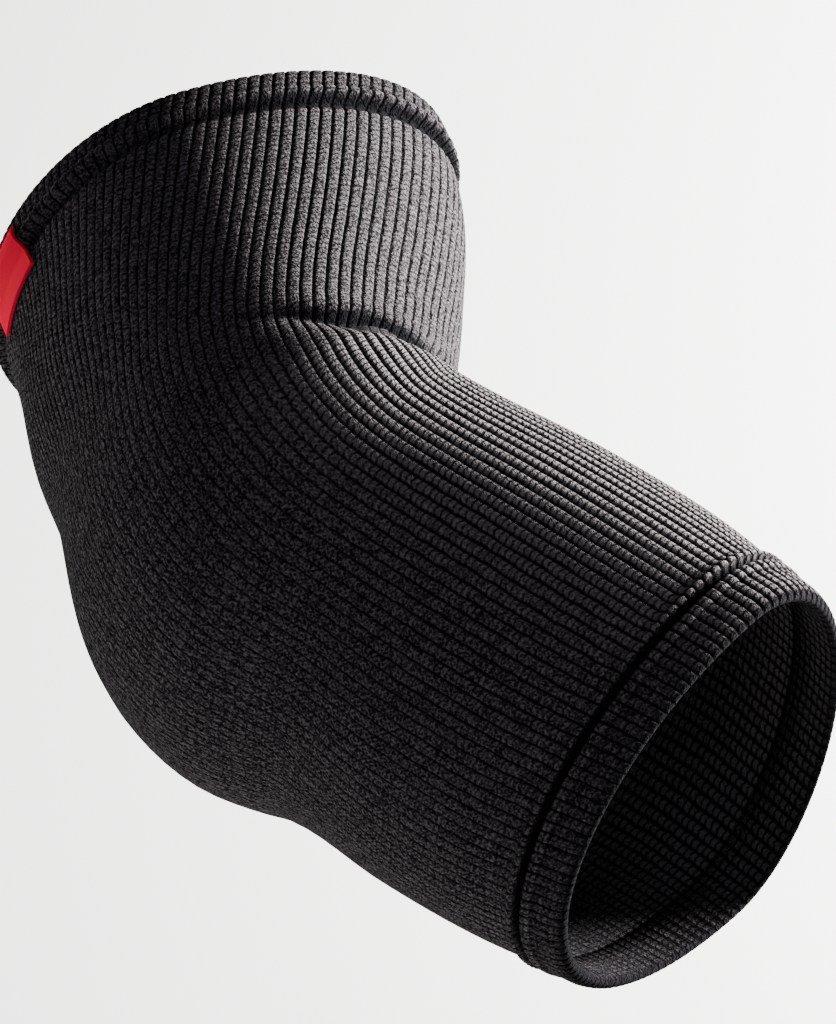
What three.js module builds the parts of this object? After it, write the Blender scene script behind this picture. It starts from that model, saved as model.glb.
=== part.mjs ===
import * as THREE from 'three';

// Elbow support: a knitted tube with a turned and stitched hem at each end and a small woven
// side label, in the form it has on a bent arm. Millimetres, +Z up.
// The bend lies in the XY plane. +Y runs up the upper arm, the forearm leaves towards +X and -Y,
// and the origin is where the two middle lines cross, inside the elbow.

// Bend and reach
const BEND_ANGLE = 47;
const BEND_RADIUS = 49.5;
const UPPER_REACH = 83.5;
const FOREARM_REACH = 101.5;

// Full outside widths across the tube: breadth in the plane of the bend, height along Z
const UPPER_BREADTH = 98;
const UPPER_HEIGHT = 83;
const ELBOW_BREADTH = 86;
const ELBOW_HEIGHT = 108;
const LOWER_BREADTH = 76;
const LOWER_HEIGHT = 87;

// How far each rim leans from square, as a slope: positive lifts its crook side up the arm
const UPPER_RIM_SLOPE = 0.2;
const LOWER_RIM_SLOPE = -0.26;
// The same for the lower rim's +Z side
const LOWER_RIM_TILT = 0.09;

// Knit and hems
const KNIT_WALL = 2;
const SEAM_GAP = 0.3;
const UPPER_HEM_WIDTH = 9.5;
const LOWER_HEM_WIDTH = 11;
const HEM_WALL = 2.8;
const HEM_ROLL_WIDTH = 2.8;
const HEM_ROLL_RISE = 0.8;
const SEAM_ROLL_WIDTH = 2.4;
const SEAM_ROLL_RISE = 0.6;
const SEAM_GROOVE_WIDTH = 1.6;
const SEAM_GROOVE_DEPTH = 1;
const RIM_ROUND = 1.2;

// Fold in the crook of the elbow
const FOLD_DEPTH = 5;
const FOLD_WIDTH = 4.5;
const FOLD_BULGE = 1.4;

// Woven label sewn over the seam at the back of the upper hem
const LABEL_LENGTH = 20;
const LABEL_WIDTH = 12;
const LABEL_DROP = 6.5;
const LABEL_WALL = 0.8;
const LABEL_GAP = 0.3;
const LABEL_TURN = 164;

// Facets: round the tube, and along it at the elbow and on each side of it
const ROUND_STEPS = 60;
const ELBOW_STEPS = 18;
const PLAIN_STEPS = 6;
const LABEL_STEPS = 10;

// Sections from the lower rim (-1) through the elbow (0) to the upper rim (1).
// crook, back: half breadth towards and away from the crook, as shares of the local half breadth.
// height: share of the local half height. full: 2 is an ellipse, more is squarer.
const SECTIONS = [
  { along: -1.00, crook: 0.70, back: 1.33, height: 1.00, full: 2.0 },
  { along: -0.75, crook: 0.92, back: 1.29, height: 1.00, full: 2.0 },
  { along: -0.50, crook: 1.00, back: 1.17, height: 0.99, full: 2.0 },
  { along: -0.25, crook: 1.00, back: 1.00, height: 0.97, full: 2.0 },
  { along: -0.10, crook: 0.99, back: 1.045, height: 0.99, full: 2.08 },
  { along: 0.05, crook: 0.98, back: 0.975, height: 1.00, full: 2.04 },
  { along: 0.25, crook: 0.98, back: 0.825, height: 1.01, full: 2.0 },
  { along: 0.50, crook: 1.12, back: 0.82, height: 1.02, full: 2.0 },
  { along: 0.75, crook: 1.24, back: 0.77, height: 1.03, full: 2.0 },
  { along: 1.00, crook: 1.25, back: 0.77, height: 1.00, full: 2.0 },
];

// The fold's course round the tube. turn: degrees from the crook towards +Z (and the same towards -Z).
// depth: share of the fold depth. drift: share of the fold width by which it strays up the arm.
const FOLD_COURSE = [
  { turn: 0, depth: 0.85, drift: 0 },
  { turn: 30, depth: 0.95, drift: 0.1 },
  { turn: 48, depth: 1, drift: 0.35 },
  { turn: 62, depth: 1, drift: 1 },
  { turn: 76, depth: 0.9, drift: 1.7 },
  { turn: 90, depth: 0.45, drift: 2.8 },
  { turn: 105, depth: 0.08, drift: 3.6 },
  { turn: 120, depth: 0, drift: 3.8 },
  { turn: 180, depth: 0, drift: 3.8 },
];

const bend = THREE.MathUtils.degToRad(BEND_ANGLE);
const tangent = BEND_RADIUS * Math.tan(bend / 2);
const halfArc = (BEND_RADIUS * bend) / 2;
const upperLength = UPPER_REACH - tangent + halfArc;
const lowerLength = FOREARM_REACH - tangent + halfArc;

// Smooth curve through the rows of a table: value of one column at a place in another
function read(rows, place, value, at) {
  const last = rows.length - 1;
  let i = 0;
  while (i < last - 1 && at > rows[i + 1][place]) i += 1;
  const slope = (k) => {
    const a = rows[Math.max(k - 1, 0)];
    const b = rows[Math.min(k + 1, last)];
    return (b[value] - a[value]) / (b[place] - a[place]);
  };
  const span = rows[i + 1][place] - rows[i][place];
  const t = THREE.MathUtils.clamp((at - rows[i][place]) / span, 0, 1);
  const t2 = t * t;
  const t3 = t2 * t;
  return (2 * t3 - 3 * t2 + 1) * rows[i][value] + (t3 - 2 * t2 + t) * span * slope(i)
    + (3 * t2 - 2 * t3) * rows[i + 1][value] + (t3 - t2) * span * slope(i + 1);
}

// Middle line at a distance from the bend's middle, positive up the arm
function middle(distance) {
  const tilt = THREE.MathUtils.clamp(bend / 2 - distance / BEND_RADIUS, 0, bend);
  const up = Math.max(distance - halfArc, 0);
  const down = Math.max(-distance - halfArc, 0);
  return {
    tilt,
    x: BEND_RADIUS * (1 - Math.cos(tilt)) + down * Math.sin(bend),
    y: tangent - BEND_RADIUS * Math.sin(tilt) + up - down * Math.cos(bend),
  };
}

// Local half breadth and half height, changing evenly from the elbow to each rim
function halfSizes(along) {
  const breadth = along > 0 ? UPPER_BREADTH : LOWER_BREADTH;
  const height = along > 0 ? UPPER_HEIGHT : LOWER_HEIGHT;
  const t = Math.min(Math.abs(along), 1);
  return {
    breadth: THREE.MathUtils.lerp(ELBOW_BREADTH, breadth, t) / 2,
    height: THREE.MathUtils.lerp(ELBOW_HEIGHT, height, t) / 2,
  };
}

// How far the knit sinks into the fold, or swells just above it, at a place on the tube.
// The fold keeps its width round the tube, so distance is measured along the surface there:
// the crook side of the bend is shorter than the middle line and the back is longer.
function foldSink(distance, turn, out) {
  const degrees = Math.abs(THREE.MathUtils.radToDeg(Math.atan2(Math.sin(turn), Math.cos(turn))));
  const depth = FOLD_DEPTH * read(FOLD_COURSE, 'turn', 'depth', degrees);
  const bent = THREE.MathUtils.clamp(distance, -halfArc, halfArc);
  const run = bent * (1 - out / BEND_RADIUS) + distance - bent;
  const offset = run / FOLD_WIDTH - read(FOLD_COURSE, 'turn', 'drift', degrees);
  const swell = (FOLD_BULGE * depth) / FOLD_DEPTH;
  return depth * Math.exp(-offset * offset) - swell * Math.exp(-((offset - 2) * (offset - 2)) / 1.5);
}

// How far a place on the section lies from the middle line, towards the crook and up
function sectionPoint(distance, turn) {
  const along = distance / (distance >= 0 ? upperLength : lowerLength);
  const half = halfSizes(along);
  const power = 2 / read(SECTIONS, 'along', 'full', along);
  const c = Math.cos(turn);
  const s = Math.sin(turn);
  const side = read(SECTIONS, 'along', c > 0 ? 'crook' : 'back', along) * half.breadth;
  const rise = read(SECTIONS, 'along', 'height', along) * half.height;
  return {
    along,
    out: side * Math.sign(c) * Math.abs(c) ** power,
    lift: rise * Math.sign(s) * Math.abs(s) ** power,
  };
}

// Outside of the knit. distance: along the middle line. turn: 0 at the crook, a quarter at +Z.
function skin(distance, turn) {
  const { along, out, lift } = sectionPoint(distance, turn);
  const { tilt, x, y } = middle(distance);
  const lean = Math.abs(along) * (distance >= 0
    ? out * UPPER_RIM_SLOPE
    : out * LOWER_RIM_SLOPE + lift * LOWER_RIM_TILT);
  return new THREE.Vector3(
    x + out * Math.cos(tilt) - lean * Math.sin(tilt),
    y + out * Math.sin(tilt) + lean * Math.cos(tilt),
    lift,
  );
}

// A point at a height above the outside of the knit (negative is into the wall)
function place(distance, turn, height) {
  const step = 0.01;
  const along = skin(distance + step, turn).sub(skin(distance - step, turn));
  const round = skin(distance, turn + step).sub(skin(distance, turn - step));
  const normal = along.cross(round).normalize();
  return skin(distance, turn).addScaledVector(normal, height - foldSink(distance, turn, sectionPoint(distance, turn).out));
}

// Closed loop of a profile carried once round the tube
function carriedRound(profile) {
  const points = [];
  const faces = [];
  const rows = profile.length;
  for (let j = 0; j < ROUND_STEPS; j += 1) {
    const turn = (2 * Math.PI * j) / ROUND_STEPS;
    profile.forEach(({ distance, height }) => points.push(...place(distance, turn, height).toArray()));
  }
  for (let j = 0; j < ROUND_STEPS; j += 1) {
    const next = ((j + 1) % ROUND_STEPS) * rows;
    for (let i = 0; i < rows; i += 1) {
      const k = (i + 1) % rows;
      faces.push(j * rows + i, next + k, next + i, j * rows + i, j * rows + k, next + k);
    }
  }
  return solid(points, faces);
}

function solid(points, faces) {
  const geometry = new THREE.BufferGeometry();
  geometry.setAttribute('position', new THREE.Float32BufferAttribute(points, 3));
  geometry.setIndex(faces);
  geometry.computeVertexNormals();
  return geometry;
}

// Stations along the tube body: close together where it bends and folds, wider apart beyond
function bodyStations(from, to) {
  const reach = halfArc + 2 * FOLD_WIDTH;
  const list = [];
  for (let i = 0; i < PLAIN_STEPS; i += 1) list.push(THREE.MathUtils.lerp(from, -reach, i / PLAIN_STEPS));
  for (let i = 0; i < ELBOW_STEPS; i += 1) list.push(THREE.MathUtils.lerp(-reach, reach, i / ELBOW_STEPS));
  for (let i = 0; i <= PLAIN_STEPS; i += 1) list.push(THREE.MathUtils.lerp(reach, to, i / PLAIN_STEPS));
  return list;
}

// Tube body: outside from the lower seam to the upper seam, then back along the inside.
// Each end swells into a small roll and rounds down into the stitched groove.
function bodyGeometry() {
  const top = upperLength - UPPER_HEM_WIDTH - SEAM_GAP / 2;
  const bottom = -(lowerLength - LOWER_HEM_WIDTH - SEAM_GAP / 2);
  const grooveTop = top - SEAM_GROOVE_WIDTH / 2;
  const grooveBottom = bottom + SEAM_GROOVE_WIDTH / 2;
  const stations = bodyStations(grooveBottom + SEAM_ROLL_WIDTH, grooveTop - SEAM_ROLL_WIDTH);
  const profile = [
    { distance: bottom, height: -SEAM_GROOVE_DEPTH },
    { distance: grooveBottom, height: SEAM_ROLL_RISE * 0.4 },
    { distance: grooveBottom + SEAM_ROLL_WIDTH * 0.4, height: SEAM_ROLL_RISE },
    ...stations.map((distance) => ({ distance, height: 0 })),
    { distance: grooveTop - SEAM_ROLL_WIDTH * 0.4, height: SEAM_ROLL_RISE },
    { distance: grooveTop, height: SEAM_ROLL_RISE * 0.4 },
    { distance: top, height: -SEAM_GROOVE_DEPTH },
    { distance: top, height: -KNIT_WALL },
    ...stations.slice().reverse().map((distance) => ({ distance, height: -KNIT_WALL })),
    { distance: bottom, height: -KNIT_WALL },
  ];
  return carriedRound(profile);
}

// Outside of a turned hem, from its seam to its free edge: a groove, a small roll, then flat
function hemOutside(length, width) {
  const proud = HEM_WALL - KNIT_WALL;
  const seam = length - width + SEAM_GAP / 2;
  const groove = seam + SEAM_GROOVE_WIDTH / 2;
  return [
    { from: seam, height: -SEAM_GROOVE_DEPTH },
    { from: groove, height: proud },
    { from: groove + HEM_ROLL_WIDTH * 0.3, height: proud + HEM_ROLL_RISE },
    { from: groove + HEM_ROLL_WIDTH * 0.7, height: proud + HEM_ROLL_RISE },
    { from: groove + HEM_ROLL_WIDTH, height: proud },
    { from: length - RIM_ROUND, height: proud },
    { from: length, height: proud - RIM_ROUND * 0.7 },
  ];
}

// Turned hem: a thicker band whose inside is flush with the tube. end is 1 above and -1 below.
function hemGeometry(end, length, width) {
  const outside = hemOutside(length, width);
  const profile = [
    { from: outside[0].from, height: -KNIT_WALL },
    ...outside,
    { from: length, height: RIM_ROUND * 0.7 - KNIT_WALL },
    { from: length - RIM_ROUND * 0.7, height: -KNIT_WALL },
  ].map(({ from, height }) => ({ distance: end * from, height }));
  return carriedRound(end > 0 ? profile : profile.reverse());
}

// Label: a thin woven tag, stretched from the tube over the roll of the upper hem onto its flat
function labelGeometry() {
  const proud = HEM_WALL - KNIT_WALL;
  const seam = upperLength - UPPER_HEM_WIDTH;
  const edge = SEAM_GAP / 2 + SEAM_GROOVE_WIDTH / 2;
  const roll = seam + edge;
  const start = seam - LABEL_DROP;
  const rows = [
    { from: start, height: LABEL_GAP },
    { from: seam - edge - SEAM_ROLL_WIDTH * 0.4, height: SEAM_ROLL_RISE + LABEL_GAP },
    { from: roll, height: proud + HEM_ROLL_RISE + LABEL_GAP },
    { from: roll + HEM_ROLL_WIDTH, height: proud + HEM_ROLL_RISE + LABEL_GAP },
    { from: start + LABEL_WIDTH, height: proud + LABEL_GAP },
  ];
  const radius = (UPPER_BREADTH + UPPER_HEIGHT) / 4;
  const halfTurn = LABEL_LENGTH / radius / 2;
  const centre = THREE.MathUtils.degToRad(LABEL_TURN);
  const points = [];
  const faces = [];
  const wide = LABEL_STEPS + 1;
  const layer = rows.length * wide;
  [0, LABEL_WALL].forEach((extra) => rows.forEach(({ from, height }) => {
    for (let j = 0; j < wide; j += 1) {
      const turn = centre + halfTurn * ((2 * j) / LABEL_STEPS - 1);
      points.push(...place(from, turn, height + extra).toArray());
    }
  }));
  const quad = (a, b, c, d) => faces.push(a, c, b, a, d, c);
  for (let i = 0; i < rows.length - 1; i += 1) {
    for (let j = 0; j < LABEL_STEPS; j += 1) {
      const a = i * wide + j;
      quad(a, a + wide, a + wide + 1, a + 1);
      quad(layer + a, layer + a + 1, layer + a + wide + 1, layer + a + wide);
    }
    const left = i * wide;
    const right = left + LABEL_STEPS;
    quad(left, layer + left, layer + left + wide, left + wide);
    quad(right, right + wide, layer + right + wide, layer + right);
  }
  for (let j = 0; j < LABEL_STEPS; j += 1) {
    const low = j;
    const high = (rows.length - 1) * wide + j;
    quad(low, low + 1, layer + low + 1, layer + low);
    quad(high, layer + high, layer + high + 1, high + 1);
  }
  return solid(points, faces);
}

function piece(name, geometry, color, roughness) {
  const material = new THREE.MeshStandardMaterial({ color, roughness, metalness: 0 });
  const mesh = new THREE.Mesh(geometry, material);
  mesh.name = name;
  return mesh;
}

const support = new THREE.Group();
support.add(piece('sleeve', bodyGeometry(), '#1c1a1d', 0.95));
support.add(piece('upper_hem', hemGeometry(1, upperLength, UPPER_HEM_WIDTH), '#1a181b', 0.95));
support.add(piece('lower_hem', hemGeometry(-1, lowerLength, LOWER_HEM_WIDTH), '#1a181b', 0.95));
support.add(piece('label', labelGeometry(), '#d8172c', 0.8));

export default support;
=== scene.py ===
"""Ribbed knit elbow sleeve, in the form it has on a bent arm, on a plain pale stage."""

import math

import bpy
import numpy as np
from bpy.props import FloatProperty, FloatVectorProperty, IntProperty, PointerProperty
from mathutils import Matrix, Vector


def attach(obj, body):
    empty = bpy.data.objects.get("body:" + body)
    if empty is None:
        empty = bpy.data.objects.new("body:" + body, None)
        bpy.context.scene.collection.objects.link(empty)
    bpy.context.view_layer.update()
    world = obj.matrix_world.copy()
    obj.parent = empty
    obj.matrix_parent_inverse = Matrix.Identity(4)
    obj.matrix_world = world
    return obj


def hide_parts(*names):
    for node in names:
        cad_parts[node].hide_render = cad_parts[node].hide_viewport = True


bl_info = {
    "name": "Knit elbow sleeve",
    "version": (1, 0, 0),
    "blender": (4, 5, 0),
    "location": "View3D > Sidebar > Elbow sleeve",
    "description": "Ribbed knit elbow sleeve with turned hems, a woven side label and a plain stage",
    "category": "Object",
}

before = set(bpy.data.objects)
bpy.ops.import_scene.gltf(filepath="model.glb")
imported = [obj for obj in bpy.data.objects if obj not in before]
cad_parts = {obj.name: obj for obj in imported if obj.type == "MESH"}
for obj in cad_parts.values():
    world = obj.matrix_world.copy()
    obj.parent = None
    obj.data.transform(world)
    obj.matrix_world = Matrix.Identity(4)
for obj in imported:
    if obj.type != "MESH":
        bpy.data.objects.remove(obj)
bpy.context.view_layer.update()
MM = 0.001

# Corners closer than this, in metres, are sewn together
SEW_GAP = 1e-6

# Form of the tube, in millimetres and degrees, as the solids have it apart from finer seams and crease
BEND_ANGLE = 47
BEND_RADIUS = 49.5
UPPER_REACH = 83.5
FOREARM_REACH = 101.5
ELBOW_SIZE = (86, 108)
UPPER_SIZE = (98, 83)
LOWER_SIZE = (76, 87)
UPPER_RIM_SLOPE = 0.2
LOWER_RIM_SLOPE = -0.26
LOWER_RIM_TILT = 0.09
UPPER_HEM_WIDTH = 9.5
LOWER_HEM_WIDTH = 11
KNIT_WALL = 2
HEM_PROUD = 0.8
UPPER_ROLL_RISE = 0.8
LOWER_ROLL_RISE = 0.3
SEAM_ROLL_RISE = 1.1
SEAM_ROLL_WIDTH = 2.6
GROOVE_WIDTH = 2.2
GROOVE_DEPTH = 1
FOLD_DEPTH = 5
FOLD_WIDTH = 4.5
FOLD_BULGE = 0.7
CREASE_DEPTH = 0.8

# Places along the tube between which its rows of corners lie close, and closest above the crease
ROWS_FROM = -24
ROWS_TO = 19

# Steepness of the fold above and below its crease, and of the narrow crease at its bottom
STEEP_ABOVE = 3
STEEP_BELOW = 0.95
CREASE_STEEP = 3

# Patch over the point of the elbow where the knit is stretched: its middle, how far it reaches up
# the arm and down the forearm, and how far round at its middle and further down
STRETCH_MIDDLE = -6
STRETCH_UP = 42
STRETCH_DOWN = 95
STRETCH_ROUND = 105
STRETCH_ROUND_LOWER = 60

# Woven label over the upper seam: size, wall, reach below the seam, turn from the crook, and faces
LABEL_SIZE = (20, 12)
LABEL_WALL = 0.7
LABEL_DROP = 6.5
LABEL_TURN = 164
LABEL_STEPS = (80, 48)

# Camera, in degrees, metres and millimetres of lens: where it stands, how it is turned, and its aim
CAMERA_AZIMUTH = -18.6
CAMERA_ELEVATION = 50
CAMERA_ROLL = 5.4
CAMERA_DISTANCE = 1
CAMERA_LENS = 184.2
CAMERA_AIM = (0.0283, 0.00765)

# Sections from the lower rim (-1) through the elbow (0) to the upper rim (1): place, half breadth
# towards the crook and away from it, half height, all as shares, and squareness (2 is an ellipse)
SECTIONS = np.array([
    (-1.00, 0.70, 1.33, 1.00, 2.0),
    (-0.75, 0.92, 1.29, 1.00, 2.0),
    (-0.50, 1.00, 1.17, 0.99, 2.0),
    (-0.25, 1.00, 1.00, 0.97, 2.0),
    (-0.10, 0.99, 1.045, 0.99, 2.08),
    (0.05, 0.98, 0.975, 1.00, 2.04),
    (0.25, 0.98, 0.825, 1.01, 2.0),
    (0.50, 1.12, 0.82, 1.02, 2.0),
    (0.75, 1.24, 0.77, 1.03, 2.0),
    (1.00, 1.25, 0.77, 1.00, 2.0),
])
CROOK, BACK, HEIGHT, FULL = 1, 2, 3, 4

# Course of the crook fold round the tube: turn from the crook, depth share, drift up the arm
FOLD_COURSE = np.array([
    (0, 0.85, 0),
    (30, 0.93, 0.1),
    (48, 0.85, 0.35),
    (62, 0.7, 1),
    (76, 0.46, 1.7),
    (90, 0.2, 2.8),
    (105, 0.05, 3.6),
    (120, 0, 3.8),
    (180, 0, 3.8),
])
DEPTH, DRIFT = 1, 2

# Lie of the ribs: distance along the tube, ribs turned towards the back, and how much wider they
# are in the crook than at the back
RIB_LIE = np.array([
    (-110, 4.8, 0.12),
    (-60, 2.9, 0.12),
    (-20, 1.4, 0.15),
    (0, 0, 0.2),
    (25, -2.8, 0.25),
    (50, -6.4, 0.26),
    (85, -11.4, 0.26),
])
SHIFT, SPREAD = 1, 2

BEND = math.radians(BEND_ANGLE)
TANGENT = BEND_RADIUS * math.tan(BEND / 2)
HALF_ARC = BEND_RADIUS * BEND / 2
UPPER_LENGTH = UPPER_REACH - TANGENT + HALF_ARC
LOWER_LENGTH = FOREARM_REACH - TANGENT + HALF_ARC


def read(table, column, at):
    """Smooth curve through one column of a table, at places in its first column."""
    places, values = table[:, 0], table[:, column]
    before = np.maximum(np.arange(len(table)) - 1, 0)
    after = np.minimum(np.arange(len(table)) + 1, len(table) - 1)
    slopes = (values[after] - values[before]) / (places[after] - places[before])
    i = np.clip(np.searchsorted(places, at, side="left") - 1, 0, len(table) - 2)
    span = places[i + 1] - places[i]
    t = np.clip((at - places[i]) / span, 0, 1)
    start = (2 * t**3 - 3 * t**2 + 1) * values[i] + (t**3 - 2 * t**2 + t) * span * slopes[i]
    return start + (3 * t**2 - 2 * t**3) * values[i + 1] + (t**3 - t**2) * span * slopes[i + 1]


def middle(distance):
    """Middle line of the tube at a distance from the bend's middle: place and tilt."""
    tilt = np.clip(BEND / 2 - distance / BEND_RADIUS, 0, BEND)
    up = np.maximum(distance - HALF_ARC, 0)
    down = np.maximum(-distance - HALF_ARC, 0)
    x = BEND_RADIUS * (1 - np.cos(tilt)) + down * math.sin(BEND)
    y = TANGENT - BEND_RADIUS * np.sin(tilt) + up - down * math.cos(BEND)
    return x, y, tilt


def half_size(along, side):
    """Half the breadth (side 0) or height (side 1) between the elbow's and the nearer rim's."""
    share = np.minimum(np.abs(along), 1)
    rim = np.where(along > 0, UPPER_SIZE[side], LOWER_SIZE[side])
    return (ELBOW_SIZE[side] + share * (rim - ELBOW_SIZE[side])) / 2


def section(distance, turn):
    """Place on the section: share of the way to the rim, distance towards the crook, height."""
    along = distance / np.where(distance >= 0, UPPER_LENGTH, LOWER_LENGTH)
    power = 2 / read(SECTIONS, FULL, along)
    c, s = np.cos(turn), np.sin(turn)
    side = np.where(c > 0, read(SECTIONS, CROOK, along), read(SECTIONS, BACK, along)) * half_size(along, 0)
    out = side * np.sign(c) * np.abs(c) ** power
    lift = read(SECTIONS, HEIGHT, along) * half_size(along, 1) * np.sign(s) * np.abs(s) ** power
    return along, out, lift


def skin(distance, turn):
    """Outside of the knit without its fold."""
    along, out, lift = section(distance, turn)
    x, y, tilt = middle(distance)
    lower_lean = out * LOWER_RIM_SLOPE + lift * LOWER_RIM_TILT
    lean = np.where(distance >= 0, out * UPPER_RIM_SLOPE, lower_lean) * np.abs(along)
    return np.stack([
        x + out * np.cos(tilt) - lean * np.sin(tilt),
        y + out * np.sin(tilt) + lean * np.cos(tilt),
        lift,
    ], -1)


def smooth_step(low, high, value):
    """0 up to low, 1 from high, and smooth between."""
    t = np.clip((value - low) / (high - low), 0, 1)
    return t * t * (3 - 2 * t)


def from_crook(turn):
    """Turn away from the crook, either way round, in degrees."""
    return np.abs(np.degrees(np.arctan2(np.sin(turn), np.cos(turn))))


def from_back(turn):
    """Turn away from the back, either way round, in degrees."""
    return np.abs(np.degrees(np.arctan2(-np.sin(turn), -np.cos(turn))))


def fold_place(distance, turn):
    """Place across the crook fold in fold widths, its depth from 0 to 1, and its swell from 0 to 1."""
    out = section(distance, turn)[1]
    degrees = from_crook(turn)
    bent = np.clip(distance, -HALF_ARC, HALF_ARC)
    run = bent * (1 - out / BEND_RADIUS) + distance - bent
    offset = run / FOLD_WIDTH - read(FOLD_COURSE, DRIFT, degrees)
    share = read(FOLD_COURSE, DEPTH, degrees)
    return offset, share, share * smooth_step(50, 80, degrees)


def fold_sink(distance, turn):
    """How far the knit sinks into the crook fold, or swells just above it."""
    offset, share, swell = fold_place(distance, turn)
    steep = np.where(offset > 0, STEEP_ABOVE, STEEP_BELOW)
    crease = FOLD_DEPTH * np.exp(-((offset * steep) ** 2))
    crease += CREASE_DEPTH * np.exp(-((offset * CREASE_STEEP) ** 2))
    return share * crease - swell * FOLD_BULGE * np.exp(-((offset - 0.9) ** 2) / 0.4)


def fold_shade(distance, turn):
    """How dark the painted shade at the bottom of the crease is, from 0 to 1: least in the middle of the
    crook.
    """
    offset, share, _ = fold_place(distance, turn)
    reach = 0.35 + 0.65 * smooth_step(25, 55, from_crook(turn))
    return np.minimum(3.2 * share * reach * np.exp(-(((offset - 0.12) * 3.7) ** 2)), 1)


def place(distance, turn, height):
    """A point at a height above the outside of the knit."""
    step = 0.01
    along = skin(distance + step, turn) - skin(distance - step, turn)
    about = skin(distance, turn + step) - skin(distance, turn - step)
    normal = np.cross(along, about)
    normal /= np.linalg.norm(normal, axis=-1, keepdims=True)
    return skin(distance, turn) + normal * (height - fold_sink(distance, turn))[..., None]


def rib_turns(distances, shares, ribs):
    """Turns where the rib lines cross each section, counted round from the top of the tube."""
    fine = np.linspace(0, 2 * math.pi, 721)
    found = np.empty((len(distances), len(shares)))
    for i, distance in enumerate(distances):
        ring = skin(np.full_like(fine, distance), fine + math.pi / 2)
        steps = np.linalg.norm(np.diff(ring, axis=0), axis=1)
        steps *= 1 + read(RIB_LIE, SPREAD, distance) * np.sin(fine[1:])
        way = np.concatenate([[0], np.cumsum(steps)])
        shifted = shares + read(RIB_LIE, SHIFT, distance) / ribs
        rounds = np.floor(shifted)
        found[i] = np.interp((shifted - rounds) * way[-1], way, fine) + (rounds + 0.25) * 2 * math.pi
    return found


def stretch(distance, turn):
    """How far the knit is stretched flat over the point of the elbow, from 0 to 1."""
    lower = smooth_step(0, 45, -distance)
    reach = np.where(distance > STRETCH_MIDDLE, STRETCH_UP, STRETCH_DOWN)
    wide = STRETCH_ROUND + (STRETCH_ROUND_LOWER - STRETCH_ROUND) * lower
    far = np.hypot((distance - STRETCH_MIDDLE) / reach, from_back(turn) / wide)
    return 1 - smooth_step(0.55, 1.15, far)


def seam_shade(distance, turn):
    """How dark the painted shade of the seams is: least on the upper one away from the crook, where its
    groove closes up.
    """
    return 1 - 0.75 * smooth_step(75, 120, from_crook(turn)) * smooth_step(0, 40, distance)


def squeeze(distance, turn):
    """How far the crook squeezes the ribs of the forearm part into round ridges, from 0 to 1."""
    return (1 - smooth_step(70, 125, from_crook(turn))) * (1 - smooth_step(-3, 5, distance))


def rib_relief(share, distance, turn, ribs, depth):
    """Height of the ribs: flat-topped with narrow grooves, round where squeezed, low where stretched."""
    groove = np.abs(2 * ((share * ribs) % 1) - 1)
    power = 6 - 3 * squeeze(distance, turn)
    return depth * (1 - 0.7 * stretch(distance, turn)) * (0.3 - groove ** power)


def flat_sheet(name, across, along):
    """A flat sheet of cloth as a grid, with corners numbered along its rows."""
    bpy.ops.object.select_all(action="DESELECT")
    bpy.ops.mesh.primitive_grid_add(x_subdivisions=across, y_subdivisions=along, size=1)
    sheet = bpy.context.object
    sheet.name = name
    sheet.data.name = name
    return sheet


def put_corners(sheet, points):
    """Moves a sheet's corners, given in millimetres in the order of its rows."""
    sheet.data.vertices.foreach_set("co", (points.reshape(-1, 3) * MM).astype(np.float32).ravel())
    sheet.data.update()


def put_map(sheet, across, along):
    """Gives the sheet a map of its own: how far round in ribs, and how far along in millimetres."""
    mesh = sheet.data
    corners = np.empty(len(mesh.loops), np.int32)
    mesh.loops.foreach_get("vertex_index", corners)
    layer = mesh.uv_layers[0]
    layer.name = "knit"
    places = np.stack([across.ravel()[corners], along.ravel()[corners]], -1)
    layer.data.foreach_set("uv", places.astype(np.float32).ravel())


def put_share(sheet, name, values):
    """A number for each corner that a finish can read."""
    layer = sheet.data.attributes.new(name, "FLOAT", "POINT")
    layer.data.foreach_set("value", values.astype(np.float32).ravel())


def close_sheet(sheet):
    """Sews a rolled sheet's edges together and shades it smooth."""
    bpy.ops.object.select_all(action="DESELECT")
    sheet.select_set(True)
    bpy.context.view_layer.objects.active = sheet
    bpy.ops.object.mode_set(mode="EDIT")
    bpy.ops.mesh.select_all(action="SELECT")
    bpy.ops.mesh.remove_doubles(threshold=SEW_GAP)
    bpy.ops.mesh.normals_make_consistent(inside=False)
    bpy.ops.object.mode_set(mode="OBJECT")
    bpy.ops.object.shade_smooth()


def rolled(name, profile, settings):
    """Rolls a flat sheet into a tube whose wall follows a closed profile.

    profile is rows of distance along the tube, height above the knit, rib depth and painted shade, and
    its last row is its first one again.
    """
    steps = settings.ribs * settings.rib_steps
    shares = np.arange(steps + 1) / steps
    distances, heights, depths, darks = profile.T
    turns = rib_turns(distances, shares, settings.ribs)
    distance = np.repeat(distances[:, None], steps + 1, 1)
    share = np.repeat(shares[None, :], len(profile), 0)
    height = heights[:, None] + rib_relief(share, distance, turns, settings.ribs, depths[:, None])
    sheet = flat_sheet(name, steps, len(profile) - 1)
    put_corners(sheet, place(distance, turns, height))
    put_map(sheet, share * settings.ribs, distance)
    put_share(sheet, "stretch", stretch(distance, turns))
    put_share(sheet, "squeeze", squeeze(distance, turns))
    # Painted shade: darkest down in the seams' grooves, along the hems' free edges, inside the tube and in
    # the crease
    dark = darks[:, None] * seam_shade(distance, turns)
    put_share(sheet, "shade", np.maximum(dark, fold_shade(distance, turns)))
    close_sheet(sheet)
    return sheet


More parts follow.
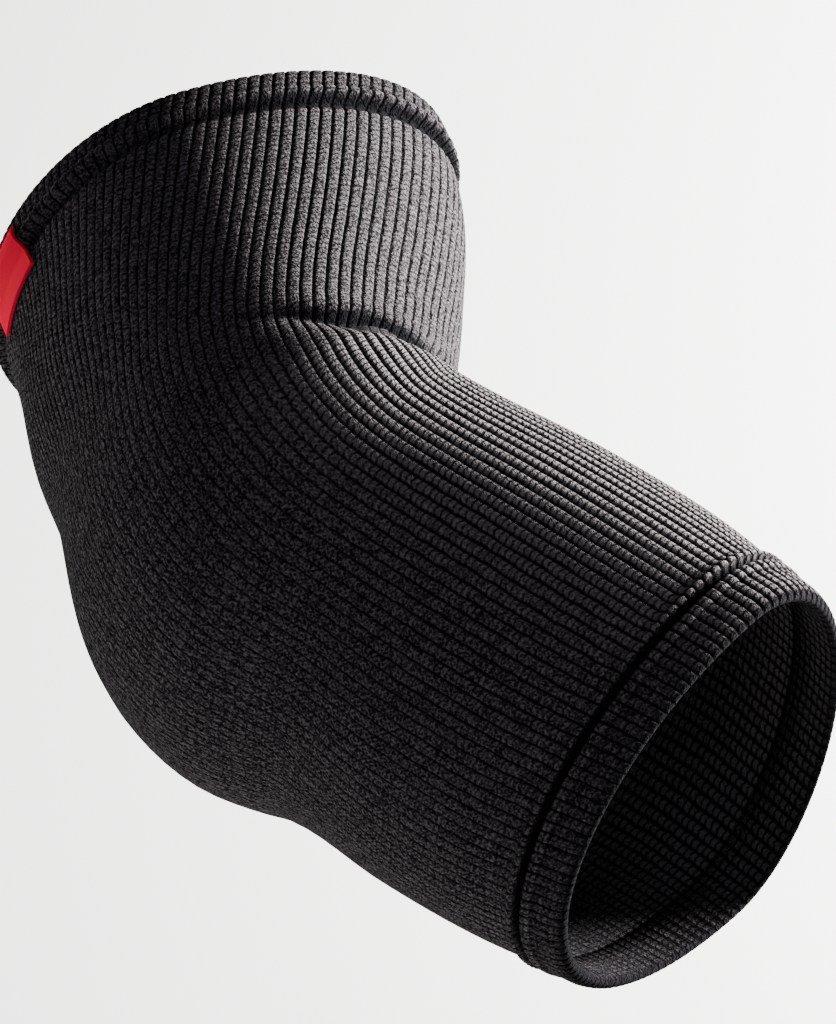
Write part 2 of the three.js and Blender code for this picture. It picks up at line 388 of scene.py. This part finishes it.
def body_profile(settings):
    """Wall of the tube body: outside up, over the upper edge, and back down the inside."""
    top = UPPER_LENGTH - UPPER_HEM_WIDTH
    bottom = LOWER_HEM_WIDTH - LOWER_LENGTH
    depth = settings.rib_depth
    roll = SEAM_ROLL_WIDTH + GROOVE_WIDTH / 2
    plain = np.concatenate([
        np.linspace(bottom + roll, ROWS_FROM, 14)[:-1],
        np.linspace(ROWS_FROM, 0, 12)[:-1],
        np.linspace(0, ROWS_TO, 40),
        np.linspace(ROWS_TO, top - roll, 13)[1:],
    ])
    # Rows of distance, height, rib depth and painted shade, which is darkest down in the seam's groove
    low_end = [
        (-0.3, -GROOVE_DEPTH - 0.4, depth * 0.3, 1),
        (0.3, -GROOVE_DEPTH * 0.9, depth * 0.5, 1),
        (0.6, -GROOVE_DEPTH * 0.2, depth * 0.8, 0.9),
        (0.9, SEAM_ROLL_RISE * 0.7, depth, 0.2),
        (1.5, SEAM_ROLL_RISE, depth, 0),
        (2.2, SEAM_ROLL_RISE * 0.7, depth, 0),
        (2.8, SEAM_ROLL_RISE * 0.1, depth, 0.35),
    ]
    high_end = [
        (-0.3, -GROOVE_DEPTH - 0.4, depth * 0.3, 1),
        (0.3, -GROOVE_DEPTH * 1.2, depth * 0.5, 1),
        (0.9, -GROOVE_DEPTH * 1.1, depth * 0.7, 1),
        (1.5, -GROOVE_DEPTH * 0.8, depth * 0.9, 1),
        (2.1, -GROOVE_DEPTH * 0.4, depth, 0.8),
        (2.7, -GROOVE_DEPTH * 0.1, depth, 0.2),
        (3.2, 0, depth, 0),
    ]
    rows = [(bottom + d, *rest) for d, *rest in low_end]
    rows += [(d, 0, depth, 0) for d in plain]
    rows += [(top - d, *rest) for d, *rest in reversed(high_end)]
    # Inside of the tube, with painted shade
    rows += [(d, -KNIT_WALL, depth * 0.4, 0.7) for d in np.linspace(top, bottom, 14)]
    return np.array([*rows, rows[0]])


def hem_profile(length, width, rise, settings):
    """Wall of a turned hem: groove, roll, flat band, rounded free edge and plain inside."""
    depth = settings.rib_depth
    seam = length - width
    proud = HEM_PROUD
    # Rows of distance, height, rib depth and painted shade: darkest in the groove, along the free edge and
    # inside
    rows = [
        (seam - 0.1, -GROOVE_DEPTH, depth * 0.4, 1),
        (seam + 0.3, -GROOVE_DEPTH * 0.9, depth * 0.5, 1),
        (seam + 0.5, -GROOVE_DEPTH * 0.5, depth * 0.6, 1),
        (seam + 0.7, 0, depth * 0.7, 1),
        (seam + 0.8, proud * 0.6, depth * 0.8, 0.9),
        (seam + 1, proud + rise * 0.3, depth, 0.8),
        (seam + 1.4, proud + rise * 0.85, depth, 0.1),
        (seam + 2, proud + rise, depth, 0),
        (seam + 2.7, proud + rise * 0.8, depth, 0),
        (seam + 3.3, proud + rise * 0.2, depth, 0.4),
        (seam + 3.8, proud - 0.1, depth, 0.55),
        (seam + 4.6, proud, depth, 0.3),
        (length - 3, proud + 0.15, depth, 0.25),
        (length - 2, proud, depth, 0.4),
        (length - 1.1, proud - 0.2, depth, 0.7),
        (length - 0.5, proud - 0.6, depth * 0.6, 1),
        (length - 0.1, proud - 1.2, depth * 0.3, 1),
        (length, proud - 1.8, depth * 0.2, 1),
        (length - 0.2, -KNIT_WALL * 0.8, depth * 0.2, 1),
        (length - 0.9, -KNIT_WALL, depth * 0.4, 0.8),
        (length - 5, -KNIT_WALL, depth * 0.4, 0.7),
        (seam - 0.1, -KNIT_WALL, depth * 0.4, 0.7),
    ]
    return np.array([*rows, rows[0]])


class Value:
    """A shader socket that Python's own arithmetic can use."""

    def __init__(self, finish, socket):
        self.finish = finish
        self.socket = socket

    def math(self, operation, *others):
        return self.finish.node("Math", {"operation": operation}, dict(enumerate([self, *others])))

    def __add__(self, other):
        return self.math("ADD", other)

    def __mul__(self, other):
        return self.math("MULTIPLY", other)

    def __sub__(self, other):
        return self.math("SUBTRACT", other)

    def __rsub__(self, other):
        return self.finish.node("Math", {"operation": "SUBTRACT"}, {0: other, 1: self})

    __radd__ = __add__

    def part(self):
        """What is left past the whole number."""
        return self.math("FRACT")

    def size(self):
        return self.math("ABSOLUTE")

    def wave(self):
        """From 0 to 1 and back, once for each whole number."""
        return (self * (2 * math.pi)).math("COSINE") * -0.5 + 0.5

    def between(self, low, high):
        """0 up to low, 1 from high, and smooth between."""
        settings = {"interpolation_type": "SMOOTHSTEP"}
        inputs = {"Value": self, "From Min": low, "From Max": high, "To Min": 0, "To Max": 1}
        return self.finish.node("MapRange", settings, inputs)


class Finish:
    """A material whose node tree is written as Python expressions."""

    def __init__(self, name, **constants):
        self.material = bpy.data.materials.new(name)
        self.material.use_nodes = True
        self.tree = self.material.node_tree
        self.shader = self.tree.nodes["Principled BSDF"]
        for socket, value in constants.items():
            self.shader.inputs[socket.replace("_", " ").title().replace("Ior", "IOR")].default_value = value

    def node(self, kind, settings, inputs, output=0):
        """Any node, with its settings, its inputs as values or numbers, and the output that is used."""
        node = self.tree.nodes.new("ShaderNode" + kind)
        for key, value in settings.items():
            setattr(node, key, value)
        for key, value in inputs.items():
            self.feed(node.inputs[key], value)
        return Value(self, node.outputs[output])

    def feed(self, socket, value):
        if isinstance(value, Value):
            self.tree.links.new(value.socket, socket)
        else:
            socket.default_value = value

    def shade(self, socket, value):
        self.feed(self.shader.inputs[socket], value)

    def map_parts(self):
        """The piece's own map: ribs round, and millimetres along."""
        corners = self.node("UVMap", {"uv_map": "knit"}, {})
        across = self.node("SeparateXYZ", {}, {"Vector": corners}, "X")
        along = self.node("SeparateXYZ", {}, {"Vector": corners}, "Y")
        return across, along

    def share(self, name):
        """A number that the piece's corners carry."""
        return self.node("Attribute", {"attribute_name": name}, {}, "Fac")

    def grain(self, size, detail=2):
        """Fine noise with patches of a size in metres, the same from all sides."""
        where = self.node("TexCoord", {}, {}, "Object")
        inputs = {"Vector": where, "Scale": 1 / size, "Detail": detail, "Roughness": 0.6}
        return self.node("TexNoise", {}, inputs, "Fac")

    def mixed(self, share, first, second):
        """Two colours mixed by a share."""
        return self.node("Mix", {"data_type": "RGBA"}, {0: share, 6: first, 7: second}, 2)

    def bump(self, height, distance):
        """Relief of a height from 0 to 1, over a distance in metres."""
        inputs = {"Height": height, "Distance": distance, "Strength": 1}
        self.shade("Normal", self.node("Bump", {}, inputs))


def dark_knit(settings, name, loops_stand):
    """Rib knit in dark yarn. loops_stand is how far its loops stand out, in metres."""
    finish = Finish(
        name,
        sheen_weight=settings.sheen,
        sheen_roughness=0.45,
        sheen_tint=(1.0, 0.97, 0.95, 1.0),
        specular_ior_level=0,
    )
    ribs, along = finish.map_parts()
    wander = finish.grain(0.003, 1) - 0.5
    fibres = finish.grain(0.0005, 1).between(0.36, 0.64)
    yarn = finish.grain(0.0018).between(0.3, 0.7)
    flat = finish.share("stretch") * 0.62
    squeezed = finish.share("squeeze")
    # Painted shade of the seams, hem edges, tube inside and crease, carried by the corners
    dark = finish.share("shade")
    ribs = ribs + wander * 0.3
    courses = along * (1 / settings.course_pitch) + wander * 0.6

    # Rib of loops: grooves between ribs, painted dark as shade, and fainter ones between courses, bent in
    # the rib's middle
    side = ((ribs.part() - 0.5) * 2).size()
    groove = side.between(0.7 - squeezed * 0.3, 0.93)
    course = (((courses + side * 0.3).part() - 0.5) * 2).size().between(0.45, 1.0)

    # Stretched knit opens into a net of loops, set half a pitch apart from row to row
    rows = courses.wave() - 0.5
    wales = (ribs * 2 - wander * 0.3).wave() - 0.5
    net = rows * wales * 2 + 0.5 + (fibres - 0.5) * 0.25

    height = (groove * -0.6 - course * 0.5) * (1 - flat) + net * flat + fibres * 0.5
    finish.bump(height, loops_stand)

    # Painted shade: grooves between ribs and courses and the holes of the net darkened towards the gap
    # colour
    ladder = 1 - (1 - groove * 0.95) * (1 - course * 0.6)
    holes = 1 - (1 - groove * 0.75) * net.between(0.1, 0.7)
    pit_shade = ladder * (1 - flat) + holes * flat * 0.85
    painted_shade_share = 1 - (1 - pit_shade) * (1 - dark * 0.95)
    lit = fibres * 0.95 + yarn * 0.4 - 0.15
    yarn_colour = finish.mixed(lit, settings.shade_colour, settings.yarn_colour)
    # Painted highlight: loops on the squeezed ridges lightened as if they catch the raking light
    yarn_colour = finish.mixed(squeezed * (1 - course) * 0.65, yarn_colour, settings.ridge_highlight_colour)
    finish.shade("Base Color", finish.mixed(painted_shade_share, yarn_colour, settings.gap_shade_colour))
    finish.shade("Roughness", 0.8 + fibres * 0.2)
    return finish.material


def woven_tape(settings):
    """Plain woven tape with a fine twill."""
    finish = Finish("Red woven tape", specular_ior_level=0)
    across, along = finish.map_parts()
    twill = (across * 2.2 + along * 2.2).wave()
    threads = (across * 4.4).wave() * 0.5 + twill * 0.7
    fibres = finish.grain(0.0004)
    finish.bump(threads + fibres * 0.3, 0.00012)
    shade = (threads + fibres) * 0.45
    finish.shade("Base Color", finish.mixed(shade, settings.label_shade, settings.label_colour))
    finish.shade("Roughness", 0.62 + fibres * 0.25)
    return finish.material


class SleeveSettings(bpy.types.PropertyGroup):
    ribs: IntProperty(
        name="Ribs", description="Ribs round the tube", default=112, min=40, max=160)
    rib_steps: IntProperty(
        name="Rib steps", description="Faces across one rib", default=8, min=4, max=10)
    rib_depth: FloatProperty(
        name="Rib depth", description="Groove depth between ribs, in millimetres", default=0.5)
    course_pitch: FloatProperty(
        name="Course pitch", description="Length of one row of loops, in millimetres", default=1.38)
    sheen: FloatProperty(
        name="Sheen", description="Light caught by loose fibres", default=0.01, subtype="FACTOR")
    yarn_colour: FloatVectorProperty(
        name="Yarn", description="Loops that stand out", default=(0.11, 0.102, 0.107, 1), size=4,
        subtype="COLOR")
    # Painted highlight on the loops of squeezed ribs
    ridge_highlight_colour: FloatVectorProperty(
        name="Yarn on ridges", description="Loops of squeezed ribs", default=(0.24, 0.225, 0.23, 1), size=4,
        subtype="COLOR")
    shade_colour: FloatVectorProperty(
        name="Yarn in shade", description="Between loops", default=(0.014, 0.0115, 0.015, 1), size=4,
        subtype="COLOR")
    # Painted shade at the bottom of the grooves, seams and crease
    gap_shade_colour: FloatVectorProperty(
        name="Gap", description="Bottom of the grooves", default=(0.003, 0.003, 0.004, 1), size=4,
        subtype="COLOR")
    label_colour: FloatVectorProperty(
        name="Label", description="Woven tape", default=(1, 0.022, 0.075, 1), size=4,
        subtype="COLOR")
    label_shade: FloatVectorProperty(
        name="Label in shade", description="Between threads", default=(0.85, 0.008, 0.04, 1), size=4,
        subtype="COLOR")


class StageSettings(bpy.types.PropertyGroup):
    floor_drop: FloatProperty(
        name="Floor drop", description="Floor below the bend's middle", default=0.35, unit="LENGTH")
    floor_colour: FloatVectorProperty(
        name="Floor", description="Pale floor", default=(0.97, 0.97, 0.97, 1), size=4,
        subtype="COLOR")
    key_power: FloatProperty(
        name="Key power", description="Raking light from the right", default=150, unit="POWER")
    fill_power: FloatProperty(
        name="Fill power", description="Soft light from the front", default=2.7, unit="POWER")
    edge_power: FloatProperty(
        name="Edge power", description="Weak light from the left", default=2, unit="POWER")
    sky: FloatProperty(
        name="Sky", description="Even light all round", default=0.11)


class OBJECT_OT_knit_tube(bpy.types.Operator):
    """Knit tube, from seam to seam"""

    bl_idname = "object.elbow_knit_tube"
    bl_label = "Knit tube"

    def execute(self, context):
        settings = context.scene.elbow_sleeve
        tube = rolled("sleeve_knit", body_profile(settings), settings)
        tube.data.materials.append(dark_knit(settings, "Dark rib knit", 0.0004))
        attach(tube, "root")
        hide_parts("sleeve")
        return {"FINISHED"}


class OBJECT_OT_turned_hems(bpy.types.Operator):
    """Turned hem at each end of the tube"""

    bl_idname = "object.elbow_turned_hems"
    bl_label = "Turned hems"

    def execute(self, context):
        settings = context.scene.elbow_sleeve
        finish = dark_knit(settings, "Dark rib knit, hems", 0.0005)
        ends = (
            ("upper_hem", 1, UPPER_LENGTH, UPPER_HEM_WIDTH, UPPER_ROLL_RISE),
            ("lower_hem", -1, LOWER_LENGTH, LOWER_HEM_WIDTH, LOWER_ROLL_RISE),
        )
        for name, end, length, width, rise in ends:
            profile = hem_profile(length, width, rise, settings) * (end, 1, 1, 1)
            hem = rolled(name + "_knit", profile, settings)
            hem.data.materials.append(finish)
            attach(hem, "root")
            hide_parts(name)
        return {"FINISHED"}


class OBJECT_OT_woven_label(bpy.types.Operator):
    """Small woven label over the seam of the upper hem"""

    bl_idname = "object.elbow_woven_label"
    bl_label = "Woven label"

    def execute(self, context):
        settings = context.scene.elbow_sleeve
        length, width = LABEL_SIZE
        across, along = LABEL_STEPS
        start = UPPER_LENGTH - UPPER_HEM_WIDTH - LABEL_DROP
        half_turn = length / ((UPPER_SIZE[0] + UPPER_SIZE[1]) / 4) / 2
        s = np.linspace(-1, 1, across + 1)[None, :] + np.zeros((along + 1, 1))
        d = np.linspace(0, width, along + 1)[:, None] + np.zeros((1, across + 1))
        clear = 0.3
        top = HEM_PROUD + UPPER_ROLL_RISE + clear
        places = (0, LABEL_DROP - 2, LABEL_DROP + 1.5, LABEL_DROP + 3.5, width)
        rise = np.interp(d, places, (0.35, 0.5, top, top, HEM_PROUD + clear))
        sheet = flat_sheet("label_tape", across, along)
        put_corners(sheet, place(start + d, math.radians(LABEL_TURN) + s * half_turn, rise + LABEL_WALL))
        put_map(sheet, s * length / 2, d)
        close_sheet(sheet)
        thick = sheet.modifiers.new("Wall", "SOLIDIFY")
        thick.thickness = LABEL_WALL * MM
        thick.offset = -1
        bpy.ops.object.modifier_apply(modifier="Wall")
        bpy.ops.object.shade_smooth_by_angle(angle=math.radians(40))
        sheet.data.materials.append(woven_tape(settings))
        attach(sheet, "root")
        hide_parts("label")
        return {"FINISHED"}


class OBJECT_OT_sleeve_stage(bpy.types.Operator):
    """Pale floor, soft lights and the camera"""

    bl_idname = "object.elbow_stage"
    bl_label = "Stage"

    def execute(self, context):
        stage = context.scene.elbow_stage
        bpy.ops.object.select_all(action="DESELECT")
        bpy.ops.mesh.primitive_plane_add(size=30, location=(0, 0, -stage.floor_drop))
        floor = context.object
        floor.name = "floor"
        finish = Finish("Pale floor", roughness=0.9, specular_ior_level=0.2)
        finish.shade("Base Color", stage.floor_colour)
        floor.data.materials.append(finish.material)
        self.light("key", (0.97, 0.2, -0.05), 0.5, stage.key_power, (1, 0.98, 0.94))
        self.light("fill", (-0.1, -0.6, 0.88), 0.9, stage.fill_power, (0.96, 0.9, 1))
        self.light("edge", (-0.42, 0.3, -0.27), 0.12, stage.edge_power, (1, 0.97, 0.95))
        world = bpy.data.worlds.new("Even sky")
        world.use_nodes = True
        world.node_tree.nodes["Background"].inputs["Color"].default_value = (1, 1, 1, 1)
        world.node_tree.nodes["Background"].inputs["Strength"].default_value = stage.sky
        context.scene.world = world
        self.camera(context)
        return {"FINISHED"}

    def light(self, name, where, size, power, colour):
        """A round soft light that shines at the elbow."""
        toward = Vector((0.02, 0, 0)) - Vector(where)
        turned = toward.to_track_quat("-Z", "Y").to_euler()
        bpy.ops.object.light_add(type="AREA", location=where, rotation=turned)
        lamp = bpy.context.object
        lamp.name = name
        lamp.data.shape = "DISK"
        lamp.data.size = size
        lamp.data.energy = power
        lamp.data.color = colour

    def camera(self, context):
        """The photograph's view."""
        azimuth = math.radians(CAMERA_AZIMUTH)
        elevation = math.radians(CAMERA_ELEVATION)
        roll = math.radians(CAMERA_ROLL)
        away = Vector((
            math.sin(azimuth) * math.cos(elevation),
            -math.cos(azimuth) * math.cos(elevation),
            math.sin(elevation),
        ))
        level = Vector((math.cos(azimuth), math.sin(azimuth), 0))
        upright = away.cross(level)
        right = level * math.cos(roll) + upright * math.sin(roll)
        up = upright * math.cos(roll) - level * math.sin(roll)
        eye = away * CAMERA_DISTANCE
        aim = right * CAMERA_AIM[0] + up * CAMERA_AIM[1]
        back = (eye - aim).normalized()
        side = up.cross(back).normalized()
        turned = Matrix((side, back.cross(side), back)).transposed()
        bpy.ops.object.camera_add(location=eye, rotation=turned.to_euler())
        camera = context.object
        camera.name = "photo_view"
        camera.data.lens = CAMERA_LENS
        camera.data.clip_start = 0.01
        context.scene.camera = camera


class VIEW3D_PT_elbow_sleeve(bpy.types.Panel):
    """Makes the sleeve and its stage"""

    bl_label = "Elbow sleeve"
    bl_idname = "VIEW3D_PT_elbow_sleeve"
    bl_space_type = "VIEW_3D"
    bl_region_type = "UI"
    bl_category = "Elbow sleeve"

    def draw(self, context):
        for settings in (context.scene.elbow_sleeve, context.scene.elbow_stage):
            for name in settings.bl_rna.properties.keys():
                if name not in ("name", "rna_type"):
                    self.layout.prop(settings, name)
        for operator in OPERATORS:
            self.layout.operator(operator.bl_idname)


OPERATORS = (OBJECT_OT_knit_tube, OBJECT_OT_turned_hems, OBJECT_OT_woven_label, OBJECT_OT_sleeve_stage)
CLASSES = (SleeveSettings, StageSettings, *OPERATORS, VIEW3D_PT_elbow_sleeve)


def register():
    for item in CLASSES:
        bpy.utils.register_class(item)
    bpy.types.Scene.elbow_sleeve = PointerProperty(type=SleeveSettings)
    bpy.types.Scene.elbow_stage = PointerProperty(type=StageSettings)


def unregister():
    del bpy.types.Scene.elbow_stage
    del bpy.types.Scene.elbow_sleeve
    for item in reversed(CLASSES):
        bpy.utils.unregister_class(item)


def main():
    register()
    bpy.ops.object.elbow_knit_tube()
    bpy.ops.object.elbow_turned_hems()
    bpy.ops.object.elbow_woven_label()
    bpy.ops.object.elbow_stage()


if __name__ == "__main__":
    main()
